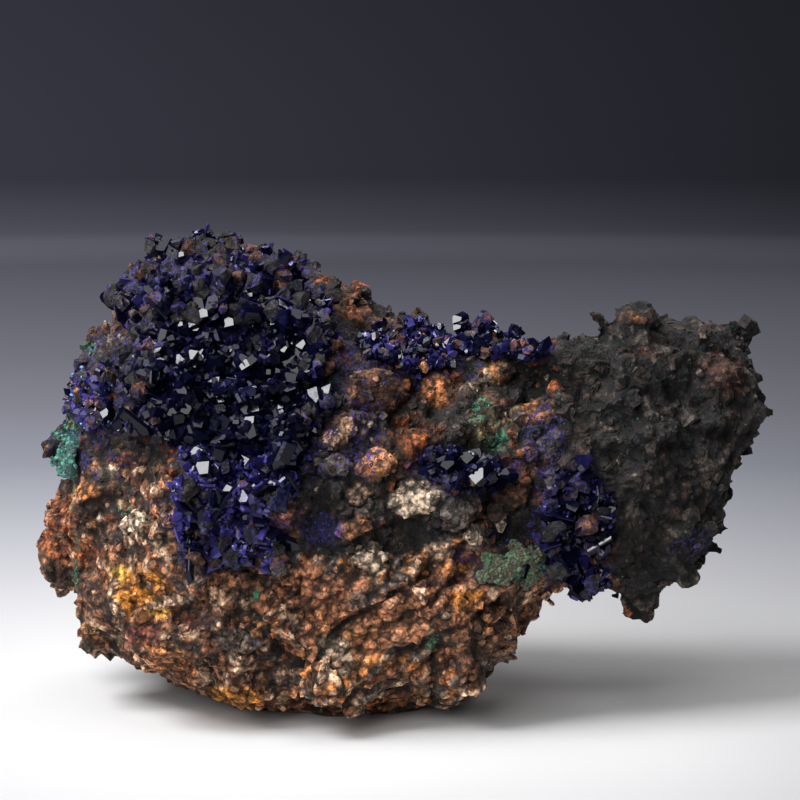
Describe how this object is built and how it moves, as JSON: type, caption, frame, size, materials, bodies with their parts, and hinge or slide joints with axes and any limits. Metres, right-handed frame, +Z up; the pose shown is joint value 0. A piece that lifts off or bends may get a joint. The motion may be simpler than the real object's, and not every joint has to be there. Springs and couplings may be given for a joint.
{
  "type": "azurite and malachite specimen",
  "caption": "Rough ore rock with a drusy hollow of dark blue azurite crystals, green malachite crusts and a dark overhanging lobe, resting on its own flat base.",
  "frame": {"origin": "on the floor plane, under the middle of the specimen's bounding box", "axes": "+X along the longest extent towards the dark lobe, -Y out of the crystal-covered front, +Z up from the resting face"},
  "size_m": [0.1626, 0.0892, 0.1026],
  "materials": {
    "rock": "dull rough iron-stained rock, brown and tan below, dark grey-brown on the lobe",
    "azurite": "vitreous deep blue crystals with bright flat faces",
    "malachite": "dull silky green crust"
  },
  "bodies": {
    "root": {"rock_matrix": "rock", "azurite_druse": "azurite", "azurite_left_grains": "azurite", "azurite_upper_patch": "azurite", "azurite_crest": "azurite", "azurite_centre_seam": "azurite", "azurite_blades": "azurite", "malachite_left": "malachite", "malachite_right": "malachite"}
  },
  "joints": []
}
